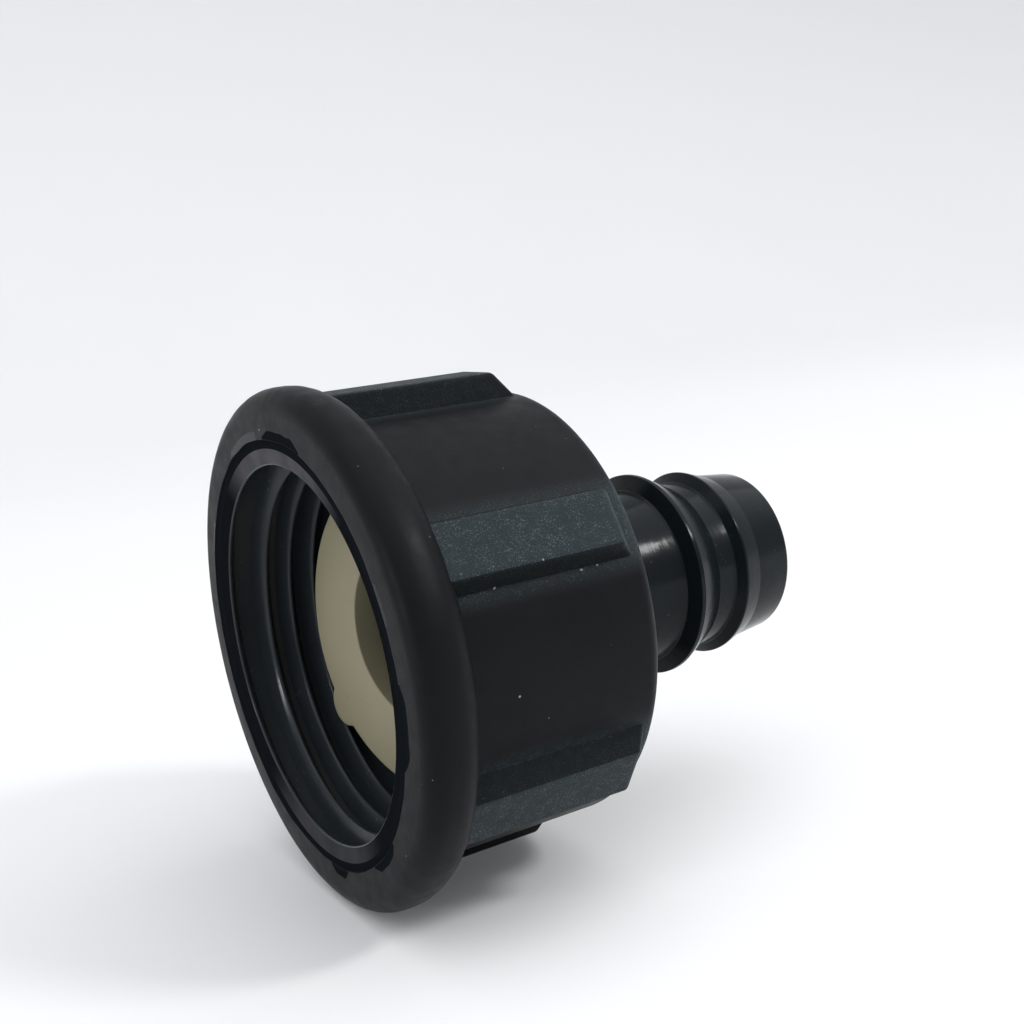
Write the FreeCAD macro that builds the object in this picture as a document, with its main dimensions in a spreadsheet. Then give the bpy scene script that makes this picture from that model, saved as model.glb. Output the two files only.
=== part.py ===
import FreeCAD, Part

import os

import Sketcher

# Swivel hose connector, in millimetres.  A threaded coupling nut turns on a barbed hose tail, and a
# lugged flat washer lies askew in the nut's thread, where it keeps the tail from dropping out.
# The connector lies on its side, with its axis along +X, from the nut's mouth to the tip of the tail.
# The origin is below the middle of its length, on the surface that the nut's bead rests on.
# Inside every body X is the distance from the mouth, and the distance from the X axis is a radius.

SIZES = {
    # Coupling nut.  Its G 3/4 thread is a plain bore at the radius of the thread's crests in front of
    # the washer, down to thread_depth, and at the radius of its roots behind that.
    "nut_length": 17.6,
    "body_radius": 14.65,
    "back_rounding": 1.1,
    "bead_radius": 16.9,
    "bead_width": 3.9,
    "bead_front_rounding": 1.4,
    "bead_back_rounding": 2.0,
    "thread_crest_radius": 12.06,
    "thread_root_radius": 13.22,
    "thread_depth": 5.2,
    "mouth_radius": 13.6,
    "mouth_step": 0.3,
    "mouth_step_radius": 13.35,
    "seat_depth": 15.7,
    "back_hole_radius": 7.7,
    "back_hole_chamfer": 0.3,
    # Grip pads of the nut
    "pad_count": 6,
    "pad_start": 2.0,
    "pad_top_radius": 16.15,
    "pad_top_end": 15.1,
    "pad_top_width": 3.56,
    "pad_foot_radius": 13.7,
    "pad_foot_end": 17.1,
    "pad_foot_width": 4.82,
    # Hose tail
    "bore_radius": 4.5,
    "flange_radius": 11.6,
    "flange_thickness": 2.2,
    "flange_chamfer": 0.3,
    "hub_radius": 7.45,
    "hub_end": 17.0,
    "neck_radius": 6.2,
    "neck_rounding": 0.8,
    "barb_face": 0.5,
    "barb_land": 0.3,
    "first_barb": 26.8,
    "first_barb_radius": 7.4,
    "first_ramp_end": 29.4,
    "second_neck_radius": 6.12,
    "second_barb": 31.4,
    "second_barb_radius": 6.83,
    "second_ramp_end": 33.0,
    "tip_start_radius": 6.3,
    "tail_end": 36.1,
    "tip_end_radius": 5.95,
    "tip_chamfer": 0.25,
    # Sealing washer
    "washer_radius": 10.9,
    "washer_hole_radius": 6.0,
    "washer_thickness": 2.6,
    "washer_depth": 7.7,
    "washer_tilt": 10.4,
    "washer_tilt_axis": 72.3,
    "lug_count": 3,
    "lug_radius": 1.6,
    "lug_circle_radius": 10.35,
    "lug_angle": -39.0,
}

doc = FreeCAD.newDocument("swivel_connector")
sheet = doc.addObject("Spreadsheet::Sheet", "Sizes")
for row, (name, size) in enumerate(SIZES.items(), start=1):
    sheet.set(f"A{row}", name)
    sheet.set(f"B{row}", str(size))
    sheet.setAlias(f"B{row}", name)
doc.recompute()


def new_body(label):
    """A body whose own X axis lies on the axis of the connector, with its zero at the mouth."""
    body = doc.addObject("PartDesign::Body", label)
    body.Label = label
    body.setExpression("Placement.Base.x", "-Sizes.tail_end / 2")
    body.setExpression("Placement.Base.z", "Sizes.bead_radius")
    return body


def origin_item(body, role):
    """The origin plane or axis of a body that has this role."""
    return next(item for item in body.Origin.OriginFeatures if item.Role == role)


def new_sketch(body, name, plane, offset=None):
    """An empty sketch on an origin plane of the body, moved along the plane's normal if asked."""
    sketch = body.newObject("Sketcher::SketchObject", name)
    sketch.AttachmentSupport = [(origin_item(body, plane), "")]
    sketch.MapMode = "FlatFace"
    if offset:
        sketch.setExpression("AttachmentOffset.Base.z", offset)
    return sketch


def worth(expression):
    """The present value of an expression, which draws a sketch near its final shape."""
    value = sheet.evalExpression(expression)
    return float(getattr(value, "Value", value))


def bind(sketch, constraint, expression):
    """Add a dimension to a sketch and tie it to an expression."""
    number = sketch.addConstraint(constraint)
    sketch.setExpression(f"Constraints[{number}]", expression)


def fix_point(sketch, line, across, up):
    """Fix the start of a line at the place that two expressions give."""
    for kind, axis, expression in (("DistanceX", -2, across), ("DistanceY", -1, up)):
        if expression == "0":
            sketch.addConstraint(Sketcher.Constraint("PointOnObject", line, 1, axis))
        else:
            dimension = Sketcher.Constraint(kind, -1, 1, line, 1, worth(expression))
            bind(sketch, dimension, expression)


def draw_outline(sketch, corners):
    """Draw a closed outline of straight lines through corners given as pairs of expressions."""
    points = [FreeCAD.Vector(worth(across), worth(up), 0) for across, up in corners]
    following = [(number + 1) % len(corners) for number in range(len(corners))]
    for start, end in enumerate(following):
        sketch.addGeometry(Part.LineSegment(points[start], points[end]))
    for start, end in enumerate(following):
        sketch.addConstraint(Sketcher.Constraint("Coincident", start, 2, end, 1))
    for line, (across, up) in enumerate(corners):
        fix_point(sketch, line, across, up)


def draw_circle(sketch, radius, across="0", up="0"):
    """Draw a circle whose radius and centre are expressions."""
    centre = FreeCAD.Vector(worth(across), worth(up), 0)
    circle = sketch.addGeometry(Part.Circle(centre, FreeCAD.Vector(0, 0, 1), worth(radius)))
    bind(sketch, Sketcher.Constraint("Radius", circle, worth(radius)), radius)
    for kind, axis, expression in (("DistanceX", -2, across), ("DistanceY", -1, up)):
        if expression == "0":
            sketch.addConstraint(Sketcher.Constraint("PointOnObject", circle, 3, axis))
        else:
            dimension = Sketcher.Constraint(kind, -1, 1, circle, 3, worth(expression))
            bind(sketch, dimension, expression)


def revolve(body, name, corners):
    """Turn an outline of (distance from the mouth, radius) about the body's X axis."""
    sketch = new_sketch(body, name + "_outline", "XY_Plane")
    draw_outline(sketch, corners)
    turned = body.newObject("PartDesign::Revolution", name)
    turned.Profile = sketch
    turned.ReferenceAxis = (origin_item(body, "X_Axis"), [""])
    turned.Angle = 360
    doc.recompute()
    return turned


def round_edges(body, name, base, spots, radius):
    """Round the circular edges of a feature that lie at (distance, radius) spots about X."""
    names = []
    for number, edge in enumerate(base.Shape.Edges, start=1):
        if not isinstance(edge.Curve, Part.Circle):
            continue
        for distance, wide in spots:
            here = abs(edge.Curve.Center.x - worth(distance)) < 0.01
            if here and abs(edge.Curve.Radius - worth(wide)) < 0.01:
                names.append(f"Edge{number}")
    rounding = body.newObject("PartDesign::Fillet", name)
    rounding.Base = (base, names)
    rounding.setExpression("Radius", radius)
    doc.recompute()
    return rounding


def repeat_round_axis(body, name, feature, count):
    """Repeat a feature evenly about the body's X axis."""
    pattern = body.newObject("PartDesign::PolarPattern", name)
    pattern.Originals = [feature]
    pattern.Axis = (origin_item(body, "X_Axis"), [""])
    pattern.Angle = 360
    pattern.setExpression("Occurrences", count)
    body.Tip = pattern
    doc.recompute()
    return pattern


def build_nut():
    """The coupling nut: a cup with a bead at its mouth, a hole in its back and grip pads."""
    body = new_body("coupling_nut")
    cup = revolve(body, "Cup", [
        ("0", "Sizes.mouth_radius"),
        ("0", "Sizes.bead_radius"),
        ("Sizes.bead_width", "Sizes.bead_radius"),
        ("Sizes.bead_width", "Sizes.body_radius"),
        ("Sizes.nut_length", "Sizes.body_radius"),
        ("Sizes.nut_length", "Sizes.back_hole_radius + Sizes.back_hole_chamfer"),
        ("Sizes.nut_length - Sizes.back_hole_chamfer", "Sizes.back_hole_radius"),
        ("Sizes.seat_depth", "Sizes.back_hole_radius"),
        ("Sizes.seat_depth", "Sizes.thread_root_radius"),
        ("Sizes.thread_depth", "Sizes.thread_root_radius"),
        ("Sizes.thread_depth", "Sizes.thread_crest_radius"),
        ("Sizes.mouth_step", "Sizes.thread_crest_radius"),
        ("Sizes.mouth_step", "Sizes.mouth_step_radius"),
    ])
    front = round_edges(body, "BeadFront", cup,
                        [("0", "Sizes.bead_radius")], "Sizes.bead_front_rounding")
    behind = round_edges(body, "BeadBack", front,
                         [("Sizes.bead_width", "Sizes.bead_radius")], "Sizes.bead_back_rounding")
    round_edges(body, "BackEdge", behind,
                [("Sizes.nut_length", "Sizes.body_radius")], "Sizes.back_rounding")

    top = pad_section(body, "PadTop", "Sizes.pad_top_radius",
                      "Sizes.pad_top_end", "Sizes.pad_top_width")
    foot = pad_section(body, "PadFoot", "Sizes.pad_foot_radius",
                       "Sizes.pad_foot_end", "Sizes.pad_foot_width")
    pad = body.newObject("PartDesign::AdditiveLoft", "GripPad")
    pad.Profile = top
    pad.Sections = [foot]
    pad.Ruled = True
    doc.recompute()
    repeat_round_axis(body, "GripPads", pad, "Sizes.pad_count")
    return body


def pad_section(body, name, height, end, width):
    """The rectangle of a grip pad at one distance below the axis."""
    sketch = new_sketch(body, name, "XY_Plane", "-" + height)
    draw_outline(sketch, [
        ("Sizes.pad_start", f"-{width} / 2"),
        (end, f"-{width} / 2"),
        (end, f"{width} / 2"),
        ("Sizes.pad_start", f"{width} / 2"),
    ])
    return sketch


def build_tail():
    """The hose tail: a flange that bears on the nut's seat, a hub, a neck, two barbs and a tip."""
    body = new_body("hose_tail")
    flange_front = "Sizes.seat_depth - Sizes.flange_thickness"
    turned = revolve(body, "Spigot", [
        (flange_front, "Sizes.bore_radius"),
        (flange_front, "Sizes.flange_radius - Sizes.flange_chamfer"),
        (flange_front + " + Sizes.flange_chamfer", "Sizes.flange_radius"),
        ("Sizes.seat_depth", "Sizes.flange_radius"),
        ("Sizes.seat_depth", "Sizes.hub_radius"),
        ("Sizes.hub_end", "Sizes.hub_radius"),
        ("Sizes.hub_end", "Sizes.neck_radius"),
        ("Sizes.first_barb - Sizes.barb_face", "Sizes.neck_radius"),
        ("Sizes.first_barb", "Sizes.first_barb_radius"),
        ("Sizes.first_barb + Sizes.barb_land", "Sizes.first_barb_radius"),
        ("Sizes.first_ramp_end", "Sizes.second_neck_radius"),
        ("Sizes.second_barb - Sizes.barb_face", "Sizes.second_neck_radius"),
        ("Sizes.second_barb", "Sizes.second_barb_radius"),
        ("Sizes.second_ramp_end", "Sizes.tip_start_radius"),
        ("Sizes.tail_end - Sizes.tip_chamfer", "Sizes.tip_end_radius"),
        ("Sizes.tail_end", "Sizes.tip_end_radius - Sizes.tip_chamfer"),
        ("Sizes.tail_end", "Sizes.bore_radius"),
    ])
    round_edges(body, "NeckRoot", turned,
                [("Sizes.hub_end", "Sizes.neck_radius")], "Sizes.neck_rounding")
    return body


def build_washer():
    """The sealing washer: a flat ring with half-round lugs, lying askew in the nut."""
    body = new_body("sealing_washer")
    body.setExpression("Placement.Base.x", "-Sizes.tail_end / 2 + Sizes.washer_depth")
    body.setExpression("Placement.Rotation.Axis.x", "0")
    body.setExpression("Placement.Rotation.Axis.y", "cos(Sizes.washer_tilt_axis * 1deg)")
    body.setExpression("Placement.Rotation.Axis.z", "sin(Sizes.washer_tilt_axis * 1deg)")
    body.setExpression("Placement.Rotation.Angle", "Sizes.washer_tilt * 1deg")

    ring_sketch = new_sketch(body, "RingOutline", "YZ_Plane")
    draw_circle(ring_sketch, "Sizes.washer_radius")
    draw_circle(ring_sketch, "Sizes.washer_hole_radius")
    ring = body.newObject("PartDesign::Pad", "Ring")
    ring.Profile = ring_sketch
    ring.setExpression("Length", "Sizes.washer_thickness")
    doc.recompute()

    lug_sketch = new_sketch(body, "LugOutline", "YZ_Plane")
    draw_circle(lug_sketch, "Sizes.lug_radius",
                "Sizes.lug_circle_radius * cos(Sizes.lug_angle * 1deg)",
                "Sizes.lug_circle_radius * sin(Sizes.lug_angle * 1deg)")
    lug = body.newObject("PartDesign::Pad", "Lug")
    lug.Profile = lug_sketch
    lug.setExpression("Length", "Sizes.washer_thickness")
    doc.recompute()
    repeat_round_axis(body, "Lugs", lug, "Sizes.lug_count")
    return body


def check_document(bodies):
    """Stop if a feature failed or a body isn't one valid solid."""
    for item in doc.Objects:
        if "Invalid" in item.State or "Error" in item.State:
            raise RuntimeError(f"{item.Name} failed: {item.State}")
    for body in bodies:
        shape = body.Shape
        if shape.isNull() or not shape.isValid() or len(shape.Solids) != 1:
            raise RuntimeError(f"{body.Label} isn't one valid solid")
        print(body.Label, "volume", round(shape.Volume, 1), "box", shape.BoundBox)


bodies = [build_nut(), build_tail(), build_washer()]
doc.recompute()
check_document(bodies)

os.makedirs("parts", exist_ok=True)
for body in bodies:
    body.Shape.exportStep(f"parts/{body.Label}.step")
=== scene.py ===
import math

import bmesh
import bpy
from mathutils import Matrix, Vector, noise


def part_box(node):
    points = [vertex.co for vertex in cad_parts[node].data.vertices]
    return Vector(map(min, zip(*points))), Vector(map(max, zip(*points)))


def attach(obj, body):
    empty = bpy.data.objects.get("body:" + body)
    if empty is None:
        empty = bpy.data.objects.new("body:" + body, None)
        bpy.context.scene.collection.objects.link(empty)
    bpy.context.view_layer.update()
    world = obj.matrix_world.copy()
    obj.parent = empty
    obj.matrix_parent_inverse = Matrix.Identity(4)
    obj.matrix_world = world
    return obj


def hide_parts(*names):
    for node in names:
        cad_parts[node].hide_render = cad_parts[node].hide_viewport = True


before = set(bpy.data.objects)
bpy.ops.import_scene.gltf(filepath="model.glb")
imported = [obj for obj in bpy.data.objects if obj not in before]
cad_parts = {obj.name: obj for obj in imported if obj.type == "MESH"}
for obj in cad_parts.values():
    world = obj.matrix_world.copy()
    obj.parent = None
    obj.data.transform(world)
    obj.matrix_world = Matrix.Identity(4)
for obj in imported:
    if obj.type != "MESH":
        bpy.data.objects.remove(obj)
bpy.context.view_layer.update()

# A swivel hose connector: a black threaded nut turning on a barbed tail, with a cream washer inside.
# Lengths in this file are millimetres, measured from the mouth of the nut along the axis (x) and out
# from the axis (radius), and put() turns them into the frame's metres.

MM = 0.001
NUT_LOW, NUT_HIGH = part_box("coupling_nut")
TAIL_LOW, TAIL_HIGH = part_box("hose_tail")

MOUTH = NUT_LOW.x
AXIS_HEIGHT = (NUT_LOW.z + NUT_HIGH.z) / 2
BEAD_RADIUS = (NUT_HIGH.z - NUT_LOW.z) / 2 / MM
NUT_LENGTH = (NUT_HIGH.x - NUT_LOW.x) / MM
TAIL_END = (TAIL_HIGH.x - MOUTH) / MM
FLANGE_FRONT = (TAIL_LOW.x - MOUTH) / MM
FLANGE_RADIUS = (TAIL_HIGH.z - TAIL_LOW.z) / 2 / MM

# The nut
BODY_RADIUS = 14.65
BEAD_WIDTH = 3.9
SEAT_DEPTH = 15.7
BACK_HOLE_RADIUS = 7.7
PAD_COUNT = 6
PAD_RADIUS = 16.15
PAD_END = 15.1
PAD_HALF_WIDTH = 1.78
PAD_FLARE = 0.26
PAD_END_SLOPE = 0.8
# Its thread, three-quarter inch pipe
THREAD_ROOT = 13.22
THREAD_CREST = 12.06
PITCH = 1.814
LEAD_IN_START = 0.30
LEAD_IN_END = 0.95
# The strip at the mouth where flash was trimmed off, wider on one side by up to WIDE_SIDE, and the
# places where the knife went further out.  A dark place is between two angles in degrees, and a
# bright one has its outer radius as well
LEDGE_RADIUS = 13.35
RIM_RADIUS = 13.75
CUT_RADIUS = 14.0
CUT_REACH = 0.45
WIDE_SIDE = 0.5
DARK_CUTS = ((85.0, 108.0), (174.0, 196.0), (221.0, 238.0), (258.0, 268.0))
BRIGHT_CUTS = ((59.0, 81.0, 14.6), (20.0, 32.0, 14.6), (150.0, 162.0, 14.3))
# The tail
BORE_RADIUS = 4.5
HUB_RADIUS = 7.45
HUB_END = 17.0
NECK_RADIUS = 6.2
BARB_1_RADIUS = 7.36
BARB_2_RADIUS = 6.80
TIP_RADIUS = 5.93
# The washer
WASHER_RADIUS = 10.9
WASHER_HOLE = 6.0
WASHER_THICKNESS = 2.6
WASHER_DEPTH = 7.7
WASHER_TILT = 10.4
WASHER_TILT_AXIS = 72.3
LUG_COUNT = 3
LUG_RADIUS = 1.6
LUG_CIRCLE = 10.35
LUG_ANGLE = -39.0


def put(x, radius, angle):
    """A point in the frame's metres, from mm along the axis, mm out from it and an angle about it."""
    return Vector((
        MOUTH + x * MM,
        radius * math.cos(angle) * MM,
        AXIS_HEIGHT + radius * math.sin(angle) * MM,
    ))


# ---------------------------------------------------------------- mesh tools

def new_piece(name, mesh, body, materials, smooth_angle=35):
    """Put a mesh in the scene, shade it smooth up to an angle, and make it ride on a body."""
    piece = bpy.data.objects.new(name, mesh)
    bpy.context.scene.collection.objects.link(piece)
    for material in materials:
        mesh.materials.append(material)
    mesh.polygons.foreach_set("use_smooth", [True] * len(mesh.polygons))
    mesh.set_sharp_from_angle(angle=math.radians(smooth_angle))
    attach(piece, body)
    return piece


def mesh_from(name, points, faces):
    """A mesh from points and faces, with its faces turned outward."""
    mesh = bpy.data.meshes.new(name)
    mesh.from_pydata(points, [], faces)
    work = bmesh.new()
    work.from_mesh(mesh)
    bmesh.ops.recalc_face_normals(work, faces=work.faces)
    work.to_mesh(mesh)
    work.free()
    return mesh


def rounded(corners, steps=7):
    """An outline through (x, radius, rounding) corners, each rounding drawn as an arc."""
    outline = []
    count = len(corners)
    for number, (x, radius, rounding) in enumerate(corners):
        here = Vector((x, radius))
        before = (Vector(corners[number - 1][:2]) - here).normalized()
        after = (Vector(corners[(number + 1) % count][:2]) - here).normalized()
        half = before.angle(after) / 2
        if rounding == 0 or half > math.radians(89):
            outline.append(here)
            continue
        middle = here + (before + after).normalized() * rounding / math.sin(half)
        start = here + before * rounding / math.tan(half) - middle
        turn = start.angle_signed(here + after * rounding / math.tan(half) - middle)
        for step in range(steps + 1):
            outline.append(middle + start @ Matrix.Rotation(turn * step / steps, 2))
    return outline


def ring_faces(around, row):
    """The faces of a ring made of closed rows of points, one row after another."""
    faces = []
    for step in range(around):
        here, there = step * row, (step + 1) % around * row
        for number in range(row):
            following = (number + 1) % row
            faces.append((here + number, here + following, there + following, there + number))
    return faces


def turned(name, outline, around=288, shape=None):
    """Turn a closed outline about the axis.  shape moves a point from its (x, radius, angle)."""
    points = []
    for step in range(around):
        angle = math.tau * step / around
        for x, radius in outline:
            points.append(put(*(shape(x, radius, angle) if shape else (x, radius, angle))))
    return mesh_from(name, points, ring_faces(around, len(outline)))


# ---------------------------------------------------------------- camera, light and floor

def add_camera():
    """A close camera in front of the mouth and to one side of it, above the axis and rolled a little.

    It looks at the middle of the part, and the small shift puts the part below the picture's middle.
    """
    place = Vector((-47.52, -76.15, 39.54)) * MM
    target = Vector((-2.65, -0.56, 15.79)) * MM
    roll = math.radians(5.66)
    look = (target - place).to_track_quat("-Z", "Y").to_matrix().to_4x4()
    camera = bpy.data.objects.new("camera", bpy.data.cameras.new("camera"))
    camera.data.sensor_width = 36
    camera.data.lens = 46.55
    camera.data.shift_y = 0.11
    camera.data.clip_start = 0.005
    camera.matrix_world = Matrix.Translation(place) @ look @ Matrix.Rotation(-roll, 4, "Z")
    bpy.context.scene.collection.objects.link(camera)
    bpy.context.scene.camera = camera


def add_light(name, place, target, size, power):
    """A flat white light at a place, aimed at a target.  Place, target and size are in mm."""
    lamp = bpy.data.lights.new(name, "AREA")
    lamp.shape = "RECTANGLE"
    lamp.size, lamp.size_y = (length * MM for length in size)
    lamp.energy = power
    light = bpy.data.objects.new(name, lamp)
    light.location = Vector(place) * MM
    aim = Vector(target) * MM - light.location
    light.rotation_euler = aim.to_track_quat("-Z", "Y").to_euler()
    bpy.context.scene.collection.objects.link(light)


def add_floor():
    """A plain pale floor that runs up behind the part in one smooth curve."""
    front, flat_end, bend, top = -900, 315, 270, 1440
    half_width = 1350
    steps = 12
    outline = [(front, 0), (flat_end, 0)]
    for step in range(1, steps + 1):
        angle = math.pi / 2 * step / steps
        outline.append((flat_end + bend * math.sin(angle), bend * (1 - math.cos(angle))))
    outline.append((flat_end + bend, top))
    points = []
    for side in (-half_width, half_width):
        points += [Vector((side, y, z)) * MM for y, z in outline]
    row = len(outline)
    faces = [(n, n + 1, row + n + 1, row + n) for n in range(row - 1)]
    mesh = bpy.data.meshes.new("floor")
    mesh.from_pydata(points, [], faces)
    mesh.polygons.foreach_set("use_smooth", [True] * len(faces))
    floor = bpy.data.objects.new("floor", mesh)
    bpy.context.scene.collection.objects.link(floor)
    mesh.materials.append(floor_material())


def add_world():
    """A pale surround: bright overhead, and dimmer in front of the part than behind it."""
    world = bpy.data.worlds.new("surround")
    bpy.context.scene.world = world
    world.use_nodes = True
    tree = world.node_tree
    direction = tree.nodes.new("ShaderNodeTexCoord").outputs["Generated"]
    split = tree.nodes.new("ShaderNodeSeparateXYZ")
    tree.links.new(direction, split.inputs[0])
    toward = tree.nodes.new("ShaderNodeVectorMath")
    toward.operation = "DOT_PRODUCT"
    toward.inputs[1].default_value = (-0.25, -0.97, 0.0)
    tree.links.new(direction, toward.inputs[0])
    low = tree.nodes.new("ShaderNodeMapRange")
    high = tree.nodes.new("ShaderNodeMapRange")
    for fade, source, spans in ((low, toward.outputs["Value"], (-0.45, 0.35, 0.75, 0.50)),
                                (high, split.outputs["Z"], (0.30, 0.85, 0.0, 1.0))):
        fade.interpolation_type = "SMOOTHSTEP"
        for number, span in enumerate(spans, start=1):
            fade.inputs[number].default_value = span
        tree.links.new(source, fade.inputs["Value"])
    strength = tree.nodes.new("ShaderNodeMix")
    strength.inputs[3].default_value = 1.7
    tree.links.new(high.outputs["Result"], strength.inputs[0])
    tree.links.new(low.outputs["Result"], strength.inputs[2])
    back = tree.nodes["Background"]
    back.inputs["Color"].default_value = (0.95, 0.97, 1.0, 1)
    tree.links.new(strength.outputs[0], back.inputs["Strength"])


# ---------------------------------------------------------------- material tools

class Paint:
    """A small helper that adds and joins the nodes of one material."""

    def __init__(self, name):
        self.material = bpy.data.materials.new(name)
        self.material.use_nodes = True
        self.tree = self.material.node_tree
        self.shader = self.tree.nodes["Principled BSDF"]
        self.object = self.node("TexCoord").outputs["Object"]

    def node(self, kind, **settings):
        """Add a node, with some of its settings."""
        made = self.tree.nodes.new("ShaderNode" + kind)
        for name, value in settings.items():
            setattr(made, name, value)
        return made

    def feed(self, socket, value):
        """Join an output to a socket, or set the socket to a plain value."""
        if isinstance(value, bpy.types.NodeSocket):
            self.tree.links.new(value, socket)
        else:
            socket.default_value = value

    def noise(self, scale, detail=2.0, roughness=0.5, vector=None):
        """Noise over the piece, 0 to 1.  The scale is in blotches a metre."""
        made = self.node("TexNoise")
        self.feed(made.inputs["Vector"], vector or self.object)
        made.inputs["Scale"].default_value = scale
        made.inputs["Detail"].default_value = detail
        made.inputs["Roughness"].default_value = roughness
        return made.outputs["Fac"]

    def math(self, operation, first, second=0.0, third=0.0, clamp=False):
        made = self.node("Math", operation=operation, use_clamp=clamp)
        for socket, value in zip(made.inputs, (first, second, third)):
            self.feed(socket, value)
        return made.outputs[0]

    def ramp(self, value, low, high, out_low=0.0, out_high=1.0):
        """Map a value smoothly from low..high to out_low..out_high."""
        made = self.node("MapRange", interpolation_type="SMOOTHSTEP")
        self.feed(made.inputs["Value"], value)
        for name, number in (("From Min", low), ("From Max", high),
                             ("To Min", out_low), ("To Max", out_high)):
            self.feed(made.inputs[name], number)
        return made.outputs["Result"]

    def mix(self, share, first, second):
        made = self.node("Mix", data_type="RGBA")
        self.feed(made.inputs[0], share)
        self.feed(made.inputs[6], first)
        self.feed(made.inputs[7], second)
        return made.outputs[2]

    def bump(self, height, distance, strength=1.0, under=None):
        """Bumps of a height output, a distance in metres high, on top of the ones under them."""
        made = self.node("Bump")
        made.inputs["Distance"].default_value = distance
        self.feed(made.inputs["Strength"], strength)
        self.feed(made.inputs["Height"], height)
        if under:
            self.feed(made.inputs["Normal"], under)
        return made.outputs["Normal"]

    def finish(self, colour, roughness, normal=None, **plain):
        """Join the shader's inputs, and set the plain ones on their own sockets."""
        self.feed(self.shader.inputs["Base Color"], colour)
        self.feed(self.shader.inputs["Roughness"], roughness)
        if normal:
            self.feed(self.shader.inputs["Normal"], normal)
        for name, value in plain.items():
            self.shader.inputs[name.replace("_", " ")].default_value = value
        return self.material


def grey(value, tint=(1.0, 1.0, 1.0)):
    """An opaque colour of one brightness, leaning to a tint."""
    return tuple(value * share for share in tint) + (1.0,)


def floor_material():
    """Pale paper, a little cloudy, that glows just enough to stay pale in the shade."""
    paint = Paint("pale_floor")
    cloud = paint.noise(9.0, 3.0)
    colour = paint.mix(cloud, grey(0.76), grey(0.79))
    return paint.finish(colour, paint.ramp(cloud, 0.3, 0.7, 0.55, 0.7),
                        Emission_Color=grey(1.0), Emission_Strength=0.03)


def round_axis(paint):
    """The distance along the axis, the radius and the angle about the axis, as outputs."""
    split = paint.node("SeparateXYZ")
    paint.feed(split.inputs[0], paint.object)
    height = paint.math("SUBTRACT", split.outputs["Z"], AXIS_HEIGHT)
    squares = paint.math("MULTIPLY", split.outputs["Y"], split.outputs["Y"])
    squares = paint.math("MULTIPLY_ADD", height, height, squares)
    return (split.outputs["X"], paint.math("SQRT", squares),
            paint.math("ARCTAN2", height, split.outputs["Y"]))


def pad_share(paint, along, angle):
    """1 on the nut's grip pads, falling to -1 half-way between them, and 0 on the bead."""
    wave = paint.math("COSINE", paint.math("MULTIPLY_ADD", angle, PAD_COUNT, math.pi))
    behind = paint.ramp(along, MOUTH + 2.9 * MM, MOUTH + 4.6 * MM)
    return paint.math("MULTIPLY", wave, behind)


def scraped_share(paint, along, radius, angle):
    """1 where a knife has scraped the front of the bead bright, with wandering edges."""
    wander = paint.noise(300.0, 3.0)
    mean_turn = 3.5
    edge = paint.math("MULTIPLY_ADD", wander, 0.4 * MM, (RIM_RADIUS - 0.25) * MM)
    turn = paint.math("MULTIPLY_ADD", wander, math.radians(2 * mean_turn), angle)
    for low, high, outer in BRIGHT_CUTS:
        low, high = math.radians(low + mean_turn), math.radians(high + mean_turn)
        inside = paint.math("MULTIPLY", paint.ramp(turn, low, low + 0.02),
                            paint.ramp(turn, high, high - 0.02))
        edge = paint.math("MULTIPLY_ADD", inside, (outer - RIM_RADIUS) * MM, edge)
    front = paint.ramp(along, MOUTH + 0.6 * MM, MOUTH + 0.4 * MM)
    inwards = paint.ramp(paint.math("SUBTRACT", edge, radius), 0.0, 0.06 * MM)
    return paint.math("MULTIPLY", inwards, front)


def nut_material(name, texture_from, texture_to, mouth_shine=False, painted_shade_lift=1.0):
    """Satin charcoal plastic, with the mould's spark-eroded grain coming in round the pads, its pale
    flecks painted glints.

    The grain comes in from one pad_share to another, and lift is how pale it is: under 1 for a copy
    darkened as painted shade.
    """
    paint = Paint(name)
    along, radius, angle = round_axis(paint)
    grain_place = paint.ramp(pad_share(paint, along, angle), texture_from, texture_to)
    grain = paint.noise(10500.0, 2.0, 0.6)
    mottle = paint.noise(1700.0, 2.0)
    broad = paint.noise(160.0, 3.0)
    streak = paint.noise(900.0, 2.0)
    # The grain's pale flecks are painted glints.
    painted_glint = paint.math("MULTIPLY", paint.ramp(grain, 0.50, 0.74),
                     paint.ramp(mottle, 0.35, 0.65, 0.2, 1.0))
    painted_glint = paint.math("MULTIPLY", painted_glint, grain_place)
    dust = paint.ramp(paint.noise(2600.0, 0.0), 0.880, 0.895)
    base = paint.mix(broad, grey(0.0042, (1.06, 1.0, 1.12)), grey(0.0062, (1.02, 1.0, 1.12)))
    # A lift under 1 darkens this copy as painted shade.
    base = paint.mix(grain_place, base, grey(0.028 * painted_shade_lift, (0.76, 1.0, 1.10)))
    colour = paint.mix(painted_glint, base, grey(0.12 * painted_shade_lift, (0.78, 1.0, 1.08)))
    colour = paint.mix(dust, colour, grey(0.25))
    smooth = paint.ramp(streak, 0.3, 0.7, 0.40, 0.48)
    rough = paint.math("MULTIPLY_ADD", grain_place, 0.10, smooth)
    rough = paint.math("MULTIPLY_ADD", painted_glint, -0.22, rough)
    if mouth_shine:
        bright = scraped_share(paint, along, radius, angle)
        rough = paint.math("MULTIPLY_ADD", bright, -0.32, rough)
    fine = paint.bump(paint.noise(2600.0, 4.0, 0.6), 0.00003, 0.35)
    coarse = paint.bump(grain, 0.00011, paint.math("MULTIPLY", grain_place, 0.8), fine)
    return paint.finish(colour, rough, coarse, Specular_IOR_Level=0.095,
                        Specular_Tint=(0.88, 0.95, 1.0, 1.0))


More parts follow.
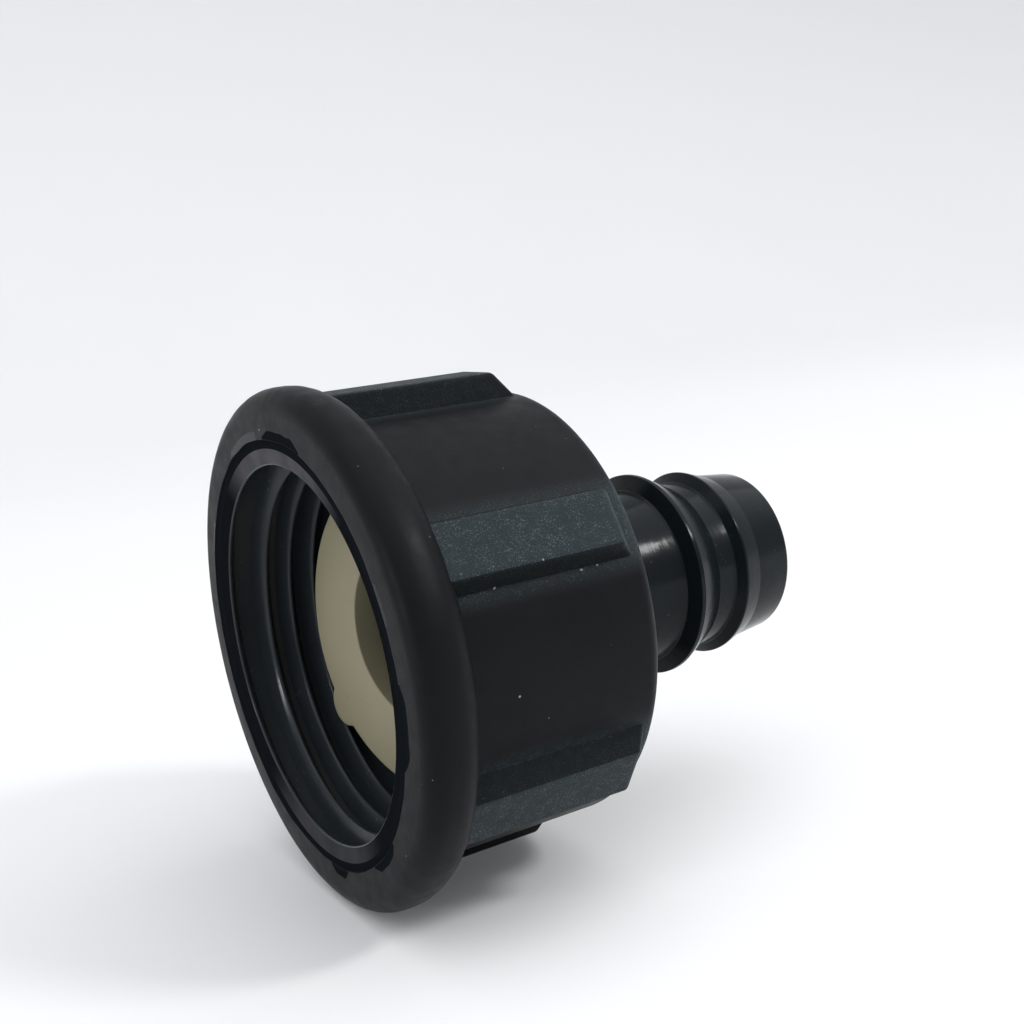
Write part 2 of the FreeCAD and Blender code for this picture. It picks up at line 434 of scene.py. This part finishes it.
def gloss_material(name, colour, low, high, line_scale=1400.0, specular=0.22, dustiness=0.35):
    """Glossy black plastic with faint turning lines across the axis, scuffs and smears."""
    paint = Paint(name)
    stretch = paint.node("Mapping")
    paint.feed(stretch.inputs["Vector"], paint.object)
    stretch.inputs["Scale"].default_value = (1.0, 0.02, 0.02)
    lines = paint.noise(line_scale, 2.0, 0.5, stretch.outputs["Vector"])
    smear = paint.noise(210.0, 4.0, 0.6)
    dust = paint.ramp(paint.noise(3100.0, 1.0), 0.74, 0.80)
    dark = paint.mix(smear, colour, tuple(1.5 * part for part in colour[:3]) + (1.0,))
    dusty = paint.mix(paint.math("MULTIPLY", dust, dustiness), dark, grey(0.05, (0.95, 1.0, 1.0)))
    rough = paint.math("MULTIPLY_ADD", dust, 0.3, paint.ramp(smear, 0.35, 0.7, low, high))
    normal = paint.bump(lines, 0.00002, 0.5)
    normal = paint.bump(paint.noise(700.0, 3.0), 0.00006, 0.3, normal)
    return paint.finish(dusty, rough, normal, Specular_IOR_Level=specular)


def inside_material(name):
    """The glossy, faintly blue inside of the nut, painted paler than the outside as painted light."""
    # The base colour is paler than the outside plastic: painted light.
    return gloss_material(name, grey(0.022, (0.80, 1.0, 1.14)), 0.18, 0.28, dustiness=0.0)


def ledge_material():
    """The step inside the rim: dark, with a painted reflection paler at the top and the bottom of the
    mouth.
    """
    paint = Paint("nut_ledge")
    angle = round_axis(paint)[2]
    # Paler at the top and the bottom of the mouth: painted reflection.
    height = paint.math("SINE", angle)
    mouth_shine = paint.math("MAXIMUM", paint.ramp(height, 0.72, 0.96),
                         paint.ramp(height, -0.74, -0.97, 0.0, 0.5))
    patchy = paint.ramp(paint.noise(420.0, 3.0), 0.3, 0.7, 0.7, 1.0)
    colour = paint.mix(paint.math("MULTIPLY", mouth_shine, patchy), grey(0.0075, (0.84, 1.0, 1.22)),
                       grey(0.085, (1.0, 0.98, 1.06)))
    rough = paint.ramp(paint.noise(900.0, 2.0), 0.3, 0.7, 0.30, 0.45)
    return paint.finish(colour, rough, paint.bump(patchy, 0.00003, 0.4), Specular_IOR_Level=0.0)


def washer_material():
    """Dull cream rubber with faint marks and dirt."""
    paint = Paint("cream_rubber")
    broad = paint.noise(190.0, 4.0, 0.6)
    fine = paint.noise(2400.0, 3.0)
    clean = paint.mix(broad, grey(0.275, (1.0, 0.90, 0.58)), grey(0.32, (1.0, 0.91, 0.61)))
    speck = paint.ramp(paint.noise(1300.0, 2.0), 0.70, 0.78)
    colour = paint.mix(paint.math("MULTIPLY", speck, 0.5), clean, grey(0.20, (1.0, 0.85, 0.62)))
    return paint.finish(colour, paint.ramp(broad, 0.3, 0.7, 0.5, 0.64),
                        paint.bump(fine, 0.00004, 0.5), Specular_IOR_Level=0.4)


# ---------------------------------------------------------------- the nut

def cut_depth(angle):
    """How far out the knife went at an angle: 0 away from the cut places, up to 1 inside them."""
    turn = math.degrees(angle) % 360
    for low, high in DARK_CUTS:
        if low < turn < high:
            return min(1.0, 5 * min(turn - low, high - turn) / (high - low))
    return 0.0


def ragged_rim(x, radius, angle):
    """Let the outer edge of the trimmed strip wander round the mouth, and reach out at the cuts."""
    front_end = 0.2
    if x > front_end or not LEDGE_RADIUS + 0.3 < radius <= CUT_RADIUS:
        return x, radius, angle
    turn = Vector((math.cos(angle), math.sin(angle), 0.0))
    wander = 0.14 * noise.noise(turn * 2.1) + 0.06 * noise.noise(turn * 9.0)
    wander += WIDE_SIDE * max(0.0, turn.x)
    if radius > CUT_RADIUS - 0.001:
        wander += CUT_REACH * cut_depth(angle) + 0.08 * noise.noise(turn * 16.0)
    return x, radius + wander, angle


def build_nut_body():
    """The nut without its pads: from the trimmed rim out over the bead, and back in to the thread."""
    outline = rounded([
        (0.02, LEDGE_RADIUS, 0.1),
        (0.13, RIM_RADIUS, 0.05),
        (0.0, RIM_RADIUS + 0.12, 0.08),
        (0.0, CUT_RADIUS, 0),
        (0.0, BEAD_RADIUS, 1.4),
        (BEAD_WIDTH, BEAD_RADIUS, 2.0),
        (BEAD_WIDTH, BODY_RADIUS, 0.35),
        (NUT_LENGTH, BODY_RADIUS, 1.1),
        (NUT_LENGTH, BACK_HOLE_RADIUS + 0.3, 0.12),
        (NUT_LENGTH - 0.3, BACK_HOLE_RADIUS, 0.1),
        (SEAT_DEPTH, BACK_HOLE_RADIUS, 0.15),
        (SEAT_DEPTH, THREAD_ROOT, 0.4),
        (LEAD_IN_END, THREAD_ROOT, 0.1),
        (LEAD_IN_START, THREAD_CREST, 0.12),
    ])
    mesh = turned("nut_body", outline, around=384, shape=ragged_rim)
    nut = new_piece("nut_body", mesh, "nut", [
        nut_material("satin_nut", 0.1, 1.0, mouth_shine=True),
        inside_material("nut_inside"),
        gloss_material("nut_rim", grey(0.0065, (0.84, 1.0, 1.25)), 0.35, 0.50, specular=0.0,
                       dustiness=0.1),
        ledge_material(),
    ])
    row = len(outline)
    rim_rows = [number for number, (x, radius) in enumerate(outline)
                if x < 0.2 and LEDGE_RADIUS - 0.02 < radius < RIM_RADIUS + 0.1]
    cut_rows = [number for number, (x, radius) in enumerate(outline)
                if x < 0.01 and RIM_RADIUS + 0.1 < radius < CUT_RADIUS]
    inside, rim, ledge = 1, 2, 3
    front_end, rim_end, back_start = 0.35, 0.125, NUT_LENGTH - 0.5
    for face in mesh.polygons:
        middle = (face.center - Vector((MOUTH, 0, AXIS_HEIGHT))) / MM
        out = math.hypot(middle.y, middle.z)
        cut = face.index % row in cut_rows and cut_depth(math.atan2(middle.z, middle.y)) > 0
        if cut or middle.x < rim_end and face.index % row in rim_rows:
            face.material_index = rim
        elif middle.x < front_end and THREAD_CREST + 0.3 < out < LEDGE_RADIUS:
            face.material_index = ledge
        elif out < THREAD_ROOT + 0.08 and middle.x < back_start:
            face.material_index = inside
    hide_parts("coupling_nut")


def build_pads():
    """The grip pads, each a block with sloping sides and a sloping back end."""
    # The sides take a darker copy of the pad material, as painted shade.
    materials = [nut_material("spark_eroded_pad", -1.2, -1.0),
                 nut_material("pad_sides_painted_shade", -1.2, -1.0, painted_shade_lift=0.25)]
    grained, plain = 0, 1
    front = 2.2
    foot = 13.8
    drop = PAD_RADIUS - foot
    for number in range(PAD_COUNT):
        middle = math.radians(-90 + 360 / PAD_COUNT * number)
        points = []
        for radius, grow in ((PAD_RADIUS, 0.0), (foot, drop)):
            half = PAD_HALF_WIDTH + PAD_FLARE * grow
            end = PAD_END + PAD_END_SLOPE * grow
            for x in (front, end):
                for side in (-half, half):
                    across = math.atan2(side, radius)
                    points.append(put(x, math.hypot(side, radius), middle + across))
        faces = [(0, 1, 3, 2), (4, 6, 7, 5), (0, 4, 5, 1), (2, 3, 7, 6), (0, 2, 6, 4), (1, 5, 7, 3)]
        mesh = mesh_from(f"grip_pad_{number + 1}", points, faces)
        mesh.polygons.foreach_set("material_index", [grained, plain, plain, grained, plain, plain])
        pad = new_piece(f"grip_pad_{number + 1}", mesh, "nut", materials)
        soften = pad.modifiers.new("soften", "BEVEL")
        soften.width = 0.28 * MM
        soften.segments = 4


def build_thread():
    """The ridge of the thread, a helix that fades out at both ends."""
    first, last = 1.75, 10.4
    per_turn = 144
    crest_at_start = 2.82
    start = (first - crest_at_start) / PITCH * math.tau
    steps = int((last - first) / PITCH * per_turn)
    section = [(-0.80, 0.12), (-0.72, 0.0), (-0.13, -1.0), (-0.05, -1.08), (0.05, -1.08),
               (0.13, -1.0), (0.72, 0.0), (0.80, 0.12)]
    points = []
    for step in range(steps + 1):
        angle = start + math.tau * step / per_turn
        fade = min(1.0, step / (0.12 * per_turn), (steps - step) / (0.3 * per_turn))
        height = (THREAD_ROOT - THREAD_CREST) / 1.08 * max(fade, 0.02)
        for along, out in section:
            radius = THREAD_ROOT + (height * out if out < 0 else out)
            points.append(put(crest_at_start + PITCH * angle / math.tau + along, radius, angle))
    row = len(section)
    faces = [(step * row + n, step * row + n + 1, (step + 1) * row + n + 1, (step + 1) * row + n)
             for step in range(steps) for n in range(row - 1)]
    faces += [(step * row + row - 1, step * row, (step + 1) * row, (step + 1) * row + row - 1)
              for step in range(steps)]
    faces += [tuple(range(row)), tuple(range(steps * row, (steps + 1) * row))]
    mesh = mesh_from("thread_ridge", points, faces)
    new_piece("thread_ridge", mesh, "nut", [inside_material("thread_gloss")], 60)


# ---------------------------------------------------------------- the tail

def build_tail():
    """The flange and hub in the nut, a hollowed neck, two barbs with a neck between, and the tip."""
    outline = rounded([
        (FLANGE_FRONT, BORE_RADIUS, 0.1),
        (FLANGE_FRONT, FLANGE_RADIUS, 0.3),
        (SEAT_DEPTH, FLANGE_RADIUS, 0.15),
        (SEAT_DEPTH, HUB_RADIUS, 0.1),
        (HUB_END, HUB_RADIUS, 0.2),
        (HUB_END, NECK_RADIUS + 0.1, 0.5),
        (21.7, NECK_RADIUS - 0.5, 33.0),
        (26.3, NECK_RADIUS + 0.1, 0.12),
        (26.75, BARB_1_RADIUS, 0.08),
        (27.05, BARB_1_RADIUS, 0.12),
        (29.4, 6.14, 0.25),
        (30.9, 6.12, 0.12),
        (31.35, BARB_2_RADIUS, 0.08),
        (31.5, BARB_2_RADIUS, 0.12),
        (33.0, 6.3, 0.5),
        (TAIL_END, TIP_RADIUS, 0.3),
        (TAIL_END, BORE_RADIUS, 0.25),
    ])
    mesh = turned("hose_tail_skin", outline, around=288)
    gloss = gloss_material("gloss_tail", grey(0.0068, (0.70, 1.0, 1.12)), 0.14, 0.22, 2100.0, 0.11)
    tail = new_piece("hose_tail_skin", mesh, "tail", [gloss])
    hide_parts("hose_tail")


# ---------------------------------------------------------------- the washer

def washer_edge(angle):
    """The washer's outer radius at an angle, standing out where a lug is."""
    reach = WASHER_RADIUS
    for number in range(LUG_COUNT):
        away = angle - math.radians(LUG_ANGLE + 360 / LUG_COUNT * number)
        side = LUG_CIRCLE * math.sin(away)
        if math.cos(away) > 0 and abs(side) < LUG_RADIUS:
            lug = LUG_CIRCLE * math.cos(away) + math.sqrt(LUG_RADIUS ** 2 - side ** 2)
            reach = max(reach, lug)
    return reach


def build_washer():
    """The washer, tipped in the thread and very slightly wavy, with its lugs drawn out of the rim."""
    around = 540
    outer, inner = 0.22, 0.12
    section = [(0.0, 0.0, inner), (0.0, 1.0, outer), (WASHER_THICKNESS, 1.0, outer),
               (WASHER_THICKNESS, 0.0, inner)]
    width = WASHER_RADIUS - WASHER_HOLE
    outline = rounded([(x, share * width, small) for x, share, small in section], 5)
    tilt = Matrix.Rotation(math.radians(WASHER_TILT), 3, Vector((
        0, math.cos(math.radians(WASHER_TILT_AXIS)), math.sin(math.radians(WASHER_TILT_AXIS)))))
    centre = Vector((MOUTH + WASHER_DEPTH * MM, 0, AXIS_HEIGHT))
    points = []
    for step in range(around):
        angle = math.tau * step / around
        extra = washer_edge(angle) - WASHER_RADIUS
        for x, out in outline:
            radius = WASHER_HOLE + out + extra * (out / width) ** 4
            wave = 0.05 * noise.noise(Vector((math.cos(angle), math.sin(angle), 0.3)) * 1.5)
            flat = Vector((x + wave, radius * math.cos(angle), radius * math.sin(angle)))
            points.append(centre + tilt @ (flat * MM))
    mesh = mesh_from("washer_ring", points, ring_faces(around, len(outline)))
    washer = new_piece("washer_ring", mesh, "washer", [washer_material()])
    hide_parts("sealing_washer")


# ---------------------------------------------------------------- the scene

def build_scene():
    add_camera()
    add_world()
    add_floor()
    add_light("key", (190, -215, 250), (0, 0, 16), (60, 60), 0.55)
    add_light("glint", (-300, 20, 60), (-16, 10, 10), (12, 20), 0.11)
    build_nut_body()
    build_pads()
    build_thread()
    build_tail()
    build_washer()
    bpy.context.scene.view_settings.view_transform = "Standard"


build_scene()
bpy.context.view_layer.update()
